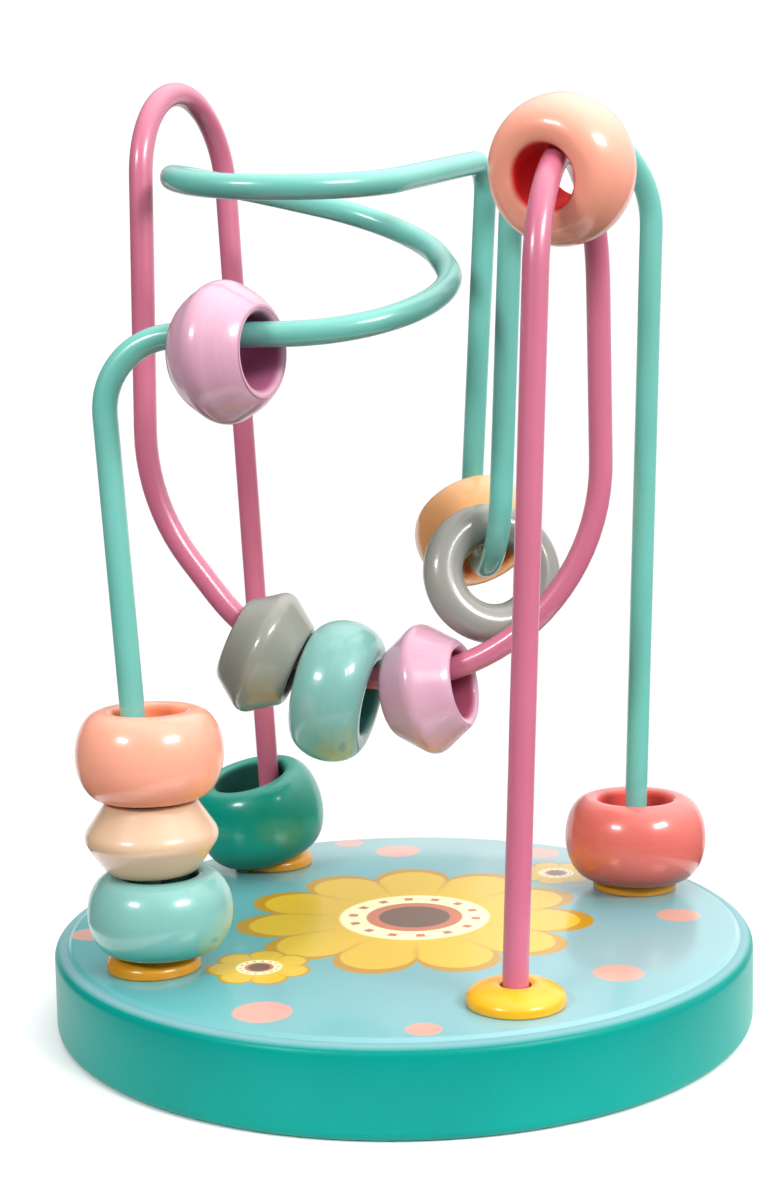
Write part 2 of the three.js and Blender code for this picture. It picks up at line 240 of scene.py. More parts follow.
class Web:
    """A material's node tree, with short ways to add and join nodes."""

    def __init__(self, label: str, attribute: str = "") -> None:
        """Starts a new material with its shader.

        Args:
            label: Name of the material.
            attribute: The mesh attribute patterns follow, or nothing for the piece's own metres.
        """
        self.material = bpy.data.materials.new(label)
        self.material.use_nodes = True
        self.tree = self.material.node_tree
        self.shader = self.tree.nodes["Principled BSDF"]
        if attribute:
            source = self.tree.nodes.new("ShaderNodeAttribute")
            source.attribute_name = attribute
            self.place = source.outputs["Vector"]
        else:
            self.place = self.tree.nodes.new("ShaderNodeTexCoord").outputs["Object"]

    def feed(self, socket: bpy.types.NodeSocket, value: object) -> None:
        """Sets a socket, or joins an output to it."""
        if isinstance(value, bpy.types.NodeSocket):
            self.tree.links.new(value, socket)
        elif isinstance(value, tuple) and len(value) == 3 and socket.type == "RGBA":
            socket.default_value = (*value, 1)
        else:
            socket.default_value = value

    def axes(self) -> list[bpy.types.NodeSocket]:
        """The place along X, Y and Z."""
        node = self.tree.nodes.new("ShaderNodeSeparateXYZ")
        self.feed(node.inputs[0], self.place)
        return list(node.outputs)

    def reach(self, across: object, along: object) -> bpy.types.NodeSocket:
        """The length of a step across and along."""
        square = self.math("MULTIPLY", across, across)
        return self.math("SQRT", self.math("MULTIPLY_ADD", along, along, square))

    def noise(
        self, scale: float, detail: float, stretch: Triple = (1, 1, 1)
    ) -> bpy.types.NodeSocket:
        """A noise over the piece.

        Args:
            scale: Waves in one unit of the pattern's place.
            detail: Octaves of finer noise.
            stretch: Factors along X, Y and Z.

        Returns:
            The noise value.
        """
        turn = self.tree.nodes.new("ShaderNodeMapping")
        turn.inputs["Scale"].default_value = stretch
        self.feed(turn.inputs["Vector"], self.place)
        cloud = self.tree.nodes.new("ShaderNodeTexNoise")
        cloud.inputs["Scale"].default_value = scale
        cloud.inputs["Detail"].default_value = detail
        self.feed(cloud.inputs["Vector"], turn.outputs["Vector"])
        return cloud.outputs["Fac"]

    def math(self, kind: str, a: object, b: object = 0.0, c: object = 0.0) -> bpy.types.NodeSocket:
        """One sum on two or three numbers or outputs."""
        node = self.tree.nodes.new("ShaderNodeMath")
        node.operation = kind
        for socket, value in zip(node.inputs, (a, b, c)):
            self.feed(socket, value)
        return node.outputs[0]

    def spread(
        self, value: object, low: float, high: float, to_low: float = 0.0, to_high: float = 1.0
    ) -> bpy.types.NodeSocket:
        """Maps a range of values onto another range, clamped."""
        node = self.tree.nodes.new("ShaderNodeMapRange")
        for socket, number in zip(node.inputs, (value, low, high, to_low, to_high)):
            self.feed(socket, number)
        return node.outputs[0]

    def grain(
        self, scale: float, detail: float, low: float = 0.0, high: float = 1.0
    ) -> bpy.types.NodeSocket:
        """A noise over the piece, spread from one value to another."""
        return self.spread(self.noise(scale, detail), NOISE_LOW, NOISE_HIGH, low, high)

    def mix(self, share: object, under: object, over: object) -> bpy.types.NodeSocket:
        """Lays one colour over another by a share."""
        node = self.tree.nodes.new("ShaderNodeMix")
        node.data_type = "RGBA"
        self.feed(node.inputs["Factor"], share)
        self.feed(node.inputs["A"], under)
        self.feed(node.inputs["B"], over)
        return node.outputs["Result"]

    def bump(self, height: bpy.types.NodeSocket, strength: float, depth: float) -> None:
        """Raises the surface by a height, with its depth in metres."""
        node = self.tree.nodes.new("ShaderNodeBump")
        node.inputs["Strength"].default_value = strength
        node.inputs["Distance"].default_value = depth
        self.feed(node.inputs["Height"], height)
        self.feed(self.shader.inputs["Normal"], node.outputs["Normal"])

    def set(self, **values: object) -> None:
        """Sets shader sockets by name, with underscores for spaces."""
        for label, value in values.items():
            self.feed(self.shader.inputs[label.replace("_", " ")], value)


@dataclass(frozen=True)
class Lacquer:
    """Glossy lacquer over turned wood, with faint turning lines, a clear coat, and a bare matt bore
    whose deeper colour is painted shade.

    A foot colour, where there is one, is painted shade: it darkens the lower end between two
    heights on the lathe.
    """

    label: str
    colour: str
    deep: str
    painted_bore_shade: str
    roughness: float = 0.28
    raw_roughness: float = 0.8
    coat: float = 0.5
    coat_roughness: float = 0.06
    cloud_scale: float = 0.16
    cloud_strength: float = 0.35
    line_scale: float = 0.4
    line_stretch: Triple = (0.15, 0.15, 4.0)
    line_ends: Pair = (0.3, 0.8)
    line_strength: float = 0.3
    groove_stretch: Triple = (0.06, 0.06, 3.0)
    painted_bore_shade_fade: Pair = (0.05, 0.5)
    foot: str = ""
    underside_shade_top: float = -0.8
    underside_shade_bottom: float = -4.4
    underside_shade_curve: float = 1.5

    def make(self, bore_radius: float) -> bpy.types.Material:
        """Builds the material.

        Args:
            bore_radius: Radius of the bead's bore in millimetres.

        Returns:
            The finished material.
        """
        web = Web(self.label, LATHE_PLACE)
        across, along, height = web.axes()
        cloud = web.grain(self.cloud_scale, 2, 0, self.cloud_strength)
        colour = web.mix(cloud, tone(self.colour), tone(self.deep))
        turned = web.noise(self.line_scale, 2, self.line_stretch)
        lines = web.spread(turned, *self.line_ends, 0, self.line_strength)
        colour = web.mix(lines, colour, tone(self.deep))
        # Painted shade: the foot colour darkens the lower end of the bead.
        if self.foot:
            low = web.spread(height, self.underside_shade_top, self.underside_shade_bottom)
            colour = web.mix(web.math("POWER", low, self.underside_shade_curve), colour, tone(self.foot))
        # Painted shade: the bore and its lips get a deeper colour; their higher roughness and
        # missing coat are the bare wood.
        start, stop = (bore_radius + fade for fade in self.painted_bore_shade_fade)
        hole = web.spread(web.reach(across, along), start, stop, 1, 0)
        web.set(
            Base_Color=web.mix(hole, colour, tone(self.painted_bore_shade)),
            Roughness=web.spread(hole, 0, 1, self.roughness, self.raw_roughness),
            Coat_Weight=web.spread(hole, 0, 1, self.coat, 0),
            Coat_Roughness=self.coat_roughness,
            IOR=GLOSS_INDEX,
        )
        web.bump(web.noise(self.line_scale, 2, self.groove_stretch), strength=0.02, depth=0.0003)
        return web.material


@dataclass(frozen=True)
class WireCoat:
    """Soft smooth plastic coat on steel wire, a little uneven along its length."""

    label: str
    colour: str
    deep: str
    drift: float = 0.7
    roughness: Pair = (0.29, 0.39)
    coat: float = 0.6
    coat_roughness: float = 0.16

    def make(self) -> bpy.types.Material:
        """Builds the material.

        Returns:
            The finished material.
        """
        web = Web(self.label)
        drift = web.grain(70, 3, 0, self.drift)
        web.set(
            Base_Color=web.mix(drift, tone(self.colour), tone(self.deep)),
            Roughness=web.grain(120, 2, *self.roughness),
            Coat_Weight=self.coat,
            Coat_Roughness=self.coat_roughness,
            IOR=GLOSS_INDEX,
        )
        web.bump(web.noise(150, 1), strength=0.05, depth=0.0002)
        return web.material


@dataclass(frozen=True)
class BoardPaint:
    """Sprayed gloss paint: dark on the board's side, pale where the rounded edge meets the top."""

    label: str = "teal_board_paint"
    colour: str = "008E83"
    deep: str = "008076"
    pale: str = "76A4A8"
    side_top: float = 10.2
    pale_from: float = 10.55
    roughness: Pair = (0.285, 0.36)
    specular: float = 0.14
    index: float = 1.45

    def make(self) -> bpy.types.Material:
        """Builds the material.

        Returns:
            The finished material.
        """
        web = Web(self.label)
        height = web.math("MULTIPLY", web.axes()[2], 1 / MM)
        side = web.mix(web.grain(45, 4), tone(self.colour), tone(self.deep))
        edge = web.spread(height, self.side_top, self.pale_from)
        web.set(
            Base_Color=web.mix(edge, side, tone(self.pale)),
            Roughness=web.grain(60, 2, *self.roughness),
            Specular_IOR_Level=self.specular,
            IOR=self.index,
        )
        web.bump(web.noise(70, 2), strength=0.04, depth=0.0004)
        return web.material


@dataclass(frozen=True)
class CollarPlastic:
    """Moulded plastic, slightly warmer in patches."""

    label: str
    colour: str
    deep: str
    roughness: Pair = (0.285, 0.37)
    coat: float = 0.3
    coat_roughness: float = 0.1

    def make(self) -> bpy.types.Material:
        """Builds the material.

        Returns:
            The finished material.
        """
        web = Web(self.label)
        web.set(
            Base_Color=web.mix(web.grain(180, 3), tone(self.colour), tone(self.deep)),
            Roughness=web.grain(160, 2, *self.roughness),
            Coat_Weight=self.coat,
            Coat_Roughness=self.coat_roughness,
            IOR=GLOSS_INDEX,
        )
        web.bump(web.noise(200, 1), strength=0.04, depth=0.0003)
        return web.material


@dataclass(frozen=True)
class Flower:
    """A printed flower: its centre, its reach, its number of petals and its turn in degrees."""

    x: float
    y: float
    reach: float
    petals: int
    turn: float


@dataclass(frozen=True)
class PrintedFilm:
    """Glossy film with a yellow flower print and pale pink dots, on a ground darkened towards the
    left as painted shade and painted reflection of the beads there.

    Places and radii are in millimetres, and what a flower is made of in shares of its reach.
    """

    label: str = "printed_film"
    ground_painted_shade_left: str = "48A4A6"
    ground_right: str = "84AEB3"
    ground_deep: str = "68A8AC"
    ground_ends: Pair = (-42.0, 12.0)
    ground_drift: float = 0.5
    petal: str = "DDB622"
    petal_deep: str = "BC8D10"
    petal_length: float = 0.24
    petal_curve: float = 0.55
    petal_border: float = 0.075
    vein_width: float = 0.45
    vein_ends: Pair = (0.42, 0.62)
    vein_strength: float = 0.7
    cream: str = "FBF2BC"
    rust: str = "C4714F"
    brown: str = "6B4A38"
    heart_radii: Triple = (0.42, 0.27, 0.2)
    seeds: int = 14
    seed_gap: Pair = (0.45, 0.65)
    seed_ring: float = 0.345
    seed_fade: Pair = (0.02, 0.03)
    dot: str = "D09C8C"
    dots: tuple[Triple, ...] = (
        (-0.6, 34.8, 3.4), (-16.0, -34.1, 3.4), (25.3, -23.0, 3.0),
        (36.0, -0.4, 2.8), (-40.2, -4.0, 2.6), (-36.0, 14.0, 3.0),
        (20.5, 32.0, 3.0), (-8.0, 40.0, 2.2), (2.0, -40.4, 2.0),
    )
    flowers: tuple[Flower, ...] = (
        Flower(1.5, 1.0, 23.5, 11, 8.0),
        Flower(-17.5, -18.5, 6.6, 7, 20.0),
        Flower(22.0, 21.0, 6.0, 7, 0.0),
    )
    blur: float = 0.15
    roughness: Pair = (0.19, 0.27)
    coat: float = 0.35
    coat_roughness: float = 0.1

    def disc(self, web: Web, away: object, radius: float) -> bpy.types.NodeSocket:
        """One inside a soft-edged disc of the print, and nought outside."""
        return web.spread(away, radius - self.blur, radius + self.blur, 1, 0)

    def lay_flower(
        self, web: Web, under: object, x: object, y: object, flower: Flower
    ) -> bpy.types.NodeSocket:
        """Prints one flower over what lies under it.

        Args:
            web: The film's node tree.
            under: Colour under the flower.
            x: Place across the film in millimetres.
            y: Place along the film in millimetres.
            flower: The flower's place and size.

        Returns:
            The colour with the flower on it.
        """
        reach, blur = flower.reach, self.blur
        across = web.math("SUBTRACT", x, flower.x)
        along = web.math("SUBTRACT", y, flower.y)
        away = web.reach(across, along)
        angle = web.math("ADD", web.math("ARCTAN2", along, across), math.radians(flower.turn))
        wave = web.math("COSINE", web.math("MULTIPLY", angle, flower.petals / 2))
        wave = web.math("POWER", web.math("ABSOLUTE", wave), self.petal_curve)
        length = self.petal_length * reach
        edge = web.math("MULTIPLY_ADD", wave, length, reach - length)
        border = web.math("SUBTRACT", edge, away)
        colour = web.mix(web.spread(border, -blur, blur), under, tone(self.petal_deep))
        inside = web.math("SUBTRACT", border, self.petal_border * reach)
        colour = web.mix(web.spread(inside, -blur, blur), colour, tone(self.petal))
        vein = web.spread(wave, 0, self.vein_width, 1, 0)
        vein = web.math("MULTIPLY", vein, web.spread(away, *(e * reach for e in self.vein_ends)))
        vein = web.math("MULTIPLY", vein, web.spread(inside, -blur, blur, 0, self.vein_strength))
        colour = web.mix(vein, colour, tone(self.petal_deep))
        for radius, shade in zip(self.heart_radii, (self.cream, self.rust, self.brown)):
            colour = web.mix(self.disc(web, away, radius * reach), colour, tone(shade))
        spin = web.math("COSINE", web.math("MULTIPLY", angle, self.seeds))
        off = web.math("ABSOLUTE", web.math("SUBTRACT", away, self.seed_ring * reach))
        ring = web.spread(off, *(e * reach for e in self.seed_fade), 1, 0)
        seeds = web.math("MULTIPLY", web.spread(spin, *self.seed_gap), ring)
        return web.mix(seeds, colour, tone(self.rust))

    def make(self) -> bpy.types.Material:
        """Builds the material.

        Returns:
            The finished material.
        """
        web = Web(self.label)
        x, y = (web.math("MULTIPLY", axis, 1 / MM) for axis in web.axes()[:2])
        # Painted shade and reflection: the ground darkens towards the left, by the stacked beads.
        out_of_painted_shade = web.spread(x, *self.ground_ends)
        ground = web.mix(out_of_painted_shade, tone(self.ground_painted_shade_left), tone(self.ground_right))
        drift = web.grain(40, 3, 0, self.ground_drift)
        colour = web.mix(drift, ground, tone(self.ground_deep))
        for across, along, radius in self.dots:
            away = web.reach(web.math("SUBTRACT", x, across), web.math("SUBTRACT", y, along))
            colour = web.mix(self.disc(web, away, radius), colour, tone(self.dot))
        for flower in self.flowers:
            colour = self.lay_flower(web, colour, x, y, flower)
        web.set(
            Base_Color=colour,
            Roughness=web.grain(60, 2, *self.roughness),
            Coat_Weight=self.coat,
            Coat_Roughness=self.coat_roughness,
            IOR=GLOSS_INDEX,
        )
        web.bump(web.noise(35, 1), strength=0.03, depth=0.0004)
        return web.material


# The fixed frame


def on_post_circle(post: Post, radius: float, height: float) -> Vector:
    """A point over one of the posts.

    Args:
        post: The post.
        radius: Radius of the post circle in millimetres.
        height: Height over the underside in millimetres.

    Returns:
        The point in millimetres.
    """
    turn = math.radians(post.value)
    return Vector((radius * math.cos(turn), radius * math.sin(turn), height))


def hand_over(
    piece: bpy.types.Object, finish: bpy.types.Material, node: str, body: str
) -> None:
    """Gives a finished piece its material and its body, and hides the solid that it stands for.

    Args:
        piece: The finished piece.
        finish: Its material.
        node: The solid that it stands for.
        body: The body that it rides on.
    """
    piece.data.materials.clear()
    piece.data.materials.append(finish)
    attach(piece, body)
    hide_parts(node)
    LOG.info("%s: %d faces on %s", piece.name, len(piece.data.polygons), body)


@dataclass
class Board:
    """The round board with its printed film and the holes for the posts."""

    diameter: float = 90.0
    thickness: float = 10.6
    edge_radius: float = 1.2
    edge_steps: int = 8
    edge_land: float = 1.5
    side_rings: Pair = (0.35, 0.65)
    film_thickness: float = 0.4
    film_inset: float = 0.4
    film_feather: float = 0.7
    film_edge: float = 0.02
    feather_steps: int = 8
    post_circle: float = 35.0
    socket_radius: float = 3.5
    socket_depth: float = 5.3
    wire_hole_radius: float = 1.8
    wire_hole_floor: float = 1.7
    drill_past: float = 1.0
    steps: int = 160
    sharp: float = 35.0

    @property
    def deck(self) -> float:
        """Height of the film's face."""
        return self.thickness + self.film_thickness

    def build_board(self) -> bpy.types.Object:
        """Turns the board and bores its holes.

        Returns:
            The board.
        """
        rim, r, top = self.diameter / 2, self.edge_radius, self.thickness
        flat = rim - r - self.edge_land
        profile = [(0.0, 0.0), (rim / 2, 0.0), (flat, 0.0)]
        profile += arc((rim - r, r), (r, r), -90, 0, self.edge_steps)
        profile += [(rim, top * share) for share in self.side_rings]
        profile += arc((rim - r, top - r), (r, r), 0, 90, self.edge_steps)
        profile += [(flat, top), (rim / 2, top), (0.0, top)]
        piece = Bench.turn("board", profile, self.steps)
        for post in Post:
            centre = on_post_circle(post, self.post_circle, 0) * MM
            floor, mouth = self.deck - self.socket_depth, self.deck + self.drill_past
            Bench.bore(piece, centre, self.socket_radius, floor, mouth)
            Bench.bore(piece, centre, self.wire_hole_radius, self.wire_hole_floor, self.deck)
        Bench.smooth(piece, self.sharp)
        return piece

    def build_film(self) -> bpy.types.Object:
        """Turns the film as a thin disc with a feathered edge, and bores it for the collars.

        Returns:
            The film.
        """
        rim = self.diameter / 2 - self.edge_radius - self.film_inset
        low, high = self.thickness, self.deck
        edge = low + self.film_edge
        profile = [(0.0, low), (rim / 2, low), (rim, low)]
        for k in range(self.feather_steps + 1):
            t = k / self.feather_steps
            rise = t * t * (3 - 2 * t)
            profile.append((rim - self.film_feather * t, edge + (high - edge) * rise))
        profile += [(rim / 2, high), (0.0, high)]
        piece = Bench.turn("film", profile, self.steps)
        for post in Post:
            centre = on_post_circle(post, self.post_circle, 0) * MM
            floor, mouth = low - self.drill_past, high + self.drill_past
            Bench.bore(piece, centre, self.socket_radius, floor, mouth)
        Bench.smooth(piece, self.sharp)
        return piece

    def dress(self) -> None:
        """Builds both pieces and gives them their finishes."""
        paint, film = BoardPaint().make(), PrintedFilm().make()
        hand_over(self.build_board(), paint, "base_board", FRAME_BODY)
        hand_over(self.build_film(), film, "printed_face", FRAME_BODY)


@dataclass
class Collars:
    """The domed collars round the posts, each with a spigot in the board."""

    diameter: float = 11.4
    rim: float = 0.7
    height: float = 2.4
    bore_radius: float = 1.8
    spigot_radius: float = 3.2
    spigot_length: float = 5.0
    lip: float = 0.25
    lip_steps: int = 4
    dome_stop: float = 84.0
    dome_steps: int = 14
    mouth_drop: float = 0.25
    steps: int = 64
    sharp: float = 50.0
    bare: CollarPlastic = CollarPlastic("yellow_collar_plastic", "F2B412", "EAA40C")
    # A darker copy of the same plastic, painted shade for the collars that sit under beads.
    painted_shade_copy: CollarPlastic = CollarPlastic("shade_painted_collar_plastic", "D9940F", "C27A08")

    def build(self, label: str, where: Vector) -> bpy.types.Object:
        """Turns one collar.

        Args:
            label: Name of the piece.
            where: Middle of its seat in millimetres.

        Returns:
            The collar in its place.
        """
        outer, bore, rise = self.diameter / 2, self.bore_radius, self.height - self.rim
        spigot, lip = self.spigot_radius, self.lip
        profile = [(bore, -self.spigot_length), (spigot, -self.spigot_length), (spigot, 0.0)]
        profile += arc((outer - lip, lip), (lip, lip), -90, 0, self.lip_steps)
        profile += arc((bore, self.rim), (outer - bore, rise), 0, self.dome_stop, self.dome_steps)
        profile += [(bore, self.height - self.mouth_drop)]
        piece = Bench.turn(label, profile, self.steps)
        Bench.place(piece, Matrix.Translation(where * MM))
        Bench.smooth(piece, self.sharp)
        return piece

    def dress(self, board: Board) -> None:
        """Builds the four collars on the board, with painted shade, a darker copy of the plastic,
        on those that a bead rests on.
        """
        bare, painted_shade_copy = self.bare.make(), self.painted_shade_copy.make()
        for post in Post:
            label = post.name.lower()
            where = on_post_circle(post, board.post_circle, board.deck)
            piece = self.build(f"{label}_collar", where)
            finish = bare if post is Post.FRONT else painted_shade_copy
            hand_over(piece, finish, f"collar_{label}", FRAME_BODY)


@dataclass(frozen=True)
class Corner:
    """A corner of a wire's route: where two straight runs would meet, and its bend's radius."""

    x: float
    y: float
    z: float
    radius: float

    @property
    def point(self) -> Vector:
        """The corner's place in millimetres."""
        return Vector((self.x, self.y, self.z))


@dataclass
class BentWire:
    """A steel wire from one post to another, made of straight runs and round bends."""

    label: str
    node: str
    finish: WireCoat
    start: Post
    end: Post
    corners: Sequence[Corner]
    diameter: float = 3.0
    foot: float = 2.0
    knee: float = 14.8
    knee_radius: float = 40.0
    shortest_run: float = 0.3
    sides: int = 24
    bend_step: float = 4.0
    sharp: float = 50.0

    def route(self, board: Board) -> tuple[list[Vector], list[float]]:
        """All corners of the wire, feet and knees included.

        Args:
            board: The board that it stands on.

        Returns:
            The corner points in millimetres and the radius of the bend at each.
        """
        def stand(post: Post, height: float) -> Vector:
            """A point over a post."""
            return on_post_circle(post, board.post_circle, height)

        points = [stand(self.start, self.foot), stand(self.start, self.knee)]
        points += [corner.point for corner in self.corners]
        points += [stand(self.end, self.knee), stand(self.end, self.foot)]
        bends = [corner.radius for corner in self.corners]
        return points, [0.0, self.knee_radius, *bends, self.knee_radius, 0.0]

    def reaches(self, points: list[Vector], radii: list[float]) -> tuple[list[float], list[float]]:
        """How far each bend reaches along its runs, kept within the runs' room.

        Args:
            points: The corner points.
            radii: The radius wanted at each corner.

        Returns:
            The reach and the radius of each bend.
        """
        count = len(points)
        sweeps = [0.0] * count
        for i in range(1, count - 1):
            sweeps[i] = (points[i] - points[i - 1]).angle(points[i + 1] - points[i])
        reach = [r * math.tan(s / 2) for r, s in zip(radii, sweeps)]
        share = [1.0] * count
        for i in range(count - 1):
            room = (points[i + 1] - points[i]).length - self.shortest_run
            fit = min(1.0, room / (reach[i] + reach[i + 1]))
            share[i] = min(share[i], fit)
            share[i + 1] = min(share[i + 1], fit)
        return [a * s for a, s in zip(reach, share)], [r * s for r, s in zip(radii, share)]

    def build(self, board: Board) -> bpy.types.Object:
        """Extrudes the wire's section along the runs and spins it round the bends.

        Args:
            board: The board that it stands on.

        Returns:
            The wire.
        """
        points, radii = self.route(board)
        reach, radii = self.reaches(points, radii)
        Bench.clear()
        bpy.ops.mesh.primitive_circle_add(
            vertices=self.sides, radius=self.diameter / 2 * MM, location=points[0] * MM
        )
        piece = Bench.name(self.label)
        bpy.ops.object.transform_apply(location=True, rotation=True, scale=True)
        bpy.ops.object.mode_set(mode="EDIT")
        bpy.ops.mesh.select_mode(type="VERT")
        bpy.ops.mesh.select_all(action="SELECT")
        here = points[0]
        for i in range(1, len(points)):
            along = (points[i] - points[i - 1]).normalized()
            there = points[i] - along * reach[i]
            step = (there - here) * MM
            bpy.ops.mesh.extrude_region_move(TRANSFORM_OT_translate={"value": step})
            here = there
            if i < len(points) - 1:
                onward = (points[i + 1] - points[i]).normalized()
                here = self.bend(there, along, onward, radii[i])
        bpy.ops.mesh.select_all(action="SELECT")
        bpy.ops.mesh.fill_holes(sides=0)
        Bench.close(piece)
        Bench.smooth(piece, self.sharp)
        return piece

    def bend(self, start: Vector, incoming: Vector, outgoing: Vector, radius: float) -> Vector:
        """Spins the selected section round one bend.

        Args:
            start: Where the bend starts.
            incoming: Direction of the run before it.
            outgoing: Direction of the run after it.
            radius: Radius of the bend.

        Returns:
            Where the bend ends.
        """
        axis = incoming.cross(outgoing).normalized()
        sweep = incoming.angle(outgoing)
        centre = start + axis.cross(incoming) * radius
        steps = max(1, math.ceil(math.degrees(sweep) / self.bend_step))
        bpy.ops.mesh.spin(steps=steps, angle=-sweep, center=centre * MM, axis=axis)
        return centre + Matrix.Rotation(sweep, 3, axis) @ (start - centre)

    def dress(self, board: Board) -> None:
        """Builds the wire and gives it its coat."""
        hand_over(self.build(board), self.finish.make(), self.node, FRAME_BODY)


# The loose beads


@dataclass(frozen=True)
class Seat:
    """Where a solid bead sits and how large it is, in metres."""

    centre: Vector
    axis: Vector
    diameter: float
    length: float
    bore: float

    @classmethod
    def of(cls, node: str) -> "Seat":
        """Measures a turned solid about its own axis.

        Args:
            node: Name of the solid.

        Returns:
            Its centre, axis and sizes.
        """
        points = np.array([v.co[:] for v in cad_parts[node].data.vertices])
        centre = points.mean(axis=0)
        spread, axes = np.linalg.eigh(np.cov((points - centre).T))
        odd = 0 if spread[1] - spread[0] > spread[2] - spread[1] else 2
        axis = axes[:, odd] * (1 if axes[2, odd] >= 0 else -1)
        along = (points - centre) @ axis
        away = np.linalg.norm(points - centre - np.outer(along, axis), axis=1)
        middle = centre + axis * (along.max() + along.min()) / 2
        outer, bore = 2 * away.max(), 2 * away.min()
        return cls(Vector(middle), Vector(axis), outer, np.ptp(along), bore)


@dataclass
class Bead:
    """One loose bead: its form, its finish and the solid that it stands for."""

    node: str
    form: BeadForm
    finish: Lacquer
    lip: float = 1.0
    lip_steps: int = 6
    bore_rings: float = 0.3
    end_land: float = 0.5
    end_diameter: float = 10.8
    end_round: float = 0.35
    end_corner: Pair = (0.1, 0.06)
    ridge_depth: float = 0.6
    ridge_half_width: float = 1.2
    ridge_blend: float = 0.15
    ridge_steps: int = 6
    bulge: float = 0.0
    flank_rings: Triple = (0.25, 0.5, 0.75)
    drum_steps: int = 26
    ring_steps: int = 40
    steps: int = 72
    sharp: float = 60.0

    def bore_profile(self, seat: Seat) -> Profile:
        """The bore with its rounded lips, from the upper end down to the lower."""
        half, wall, lip = seat.length / 2 / MM, seat.bore / 2 / MM, self.lip
        upper = arc((wall + lip, half - lip), (lip, lip), 90, 180, self.lip_steps)
        lower = arc((wall + lip, lip - half), (lip, lip), 180, 270, self.lip_steps)
        ring = half * self.bore_rings
        return upper + [(wall, ring), (wall, -ring)] + lower

    def drum_profile(self, seat: Seat) -> Profile:
        """The section of a drum bead: a bore and one full round outside."""
        half = seat.length / 2 / MM
        shoulder = seat.bore / 2 / MM + self.lip + self.end_land
        swell = seat.diameter / 2 / MM - shoulder
        outside = arc((shoulder, 0), (swell, half), -90, 90, self.drum_steps)
        return self.bore_profile(seat) + outside

    def bicone_profile(self, seat: Seat) -> Profile:
        """The section of a bicone bead: a bore, two flanks, bulged or straight, and a ridge."""
        half, outer = seat.length / 2 / MM, seat.diameter / 2 / MM
        end, soft = self.end_diameter / 2, self.end_round
        flank = outer - self.ridge_depth + self.ridge_blend
        width, rise = flank - end, half - self.ridge_half_width
        slope = Vector((width, rise)).normalized()
        ridge = []
        for k in range(2 * self.ridge_steps + 1):
            t = k / self.ridge_steps - 1
            ridge.append((outer - (outer - flank) * t * t, self.ridge_half_width * t))
        lower = [(end - soft, -half), (end - self.end_corner[0], -half + self.end_corner[1])]
        lower += [(end + slope.x * soft, -half + slope.y * soft)]
        for share in self.flank_rings:
            swell = self.bulge * 4 * share * (1 - share)
            radius = end + width * share + slope.y * swell
            lower.append((radius, -half + rise * share - slope.x * swell))
        upper = [(r, -z) for r, z in reversed(lower)]
        return self.bore_profile(seat) + lower + ridge + upper

    def ring_profile(self, seat: Seat) -> Profile:
        """The section of a ring: one circle."""
        section = (seat.diameter - seat.bore) / 4 / MM
        middle = (seat.diameter + seat.bore) / 4 / MM
        half = seat.length / 2 / MM
        return arc((middle, 0), (section, half), -180, 180, self.ring_steps)[:-1]

    def build(self, seat: Seat) -> bpy.types.Object:
        """Turns the bead and sets it on its solid's place.

        Args:
            seat: Where the solid sits and how large it is.

        Returns:
            The bead.
        """
        profiles = {
            BeadForm.DRUM: self.drum_profile,
            BeadForm.BICONE: self.bicone_profile,
            BeadForm.RING: self.ring_profile,
        }
        piece = Bench.turn(f"{self.node}_lacquered", profiles[self.form](seat), self.steps)
        turn = Vector((0, 0, 1)).rotation_difference(seat.axis).to_matrix().to_4x4()
        Bench.place(piece, Matrix.Translation(seat.centre) @ turn)
        Bench.smooth(piece, self.sharp)
        return piece

    def dress(self) -> None:
        """Builds the bead and gives it its lacquer."""
        seat = Seat.of(self.node)
        finish = self.finish.make(seat.bore / 2 / MM)
        hand_over(self.build(seat), finish, self.node, self.node)


# The studio


@dataclass(frozen=True)
class Lamp:
    """A soft box lamp, in metres and watts, and whether gloss mirrors it."""

    label: str
    place: Triple
    width: float
    height: float
    power: float
    mirrored: bool = True


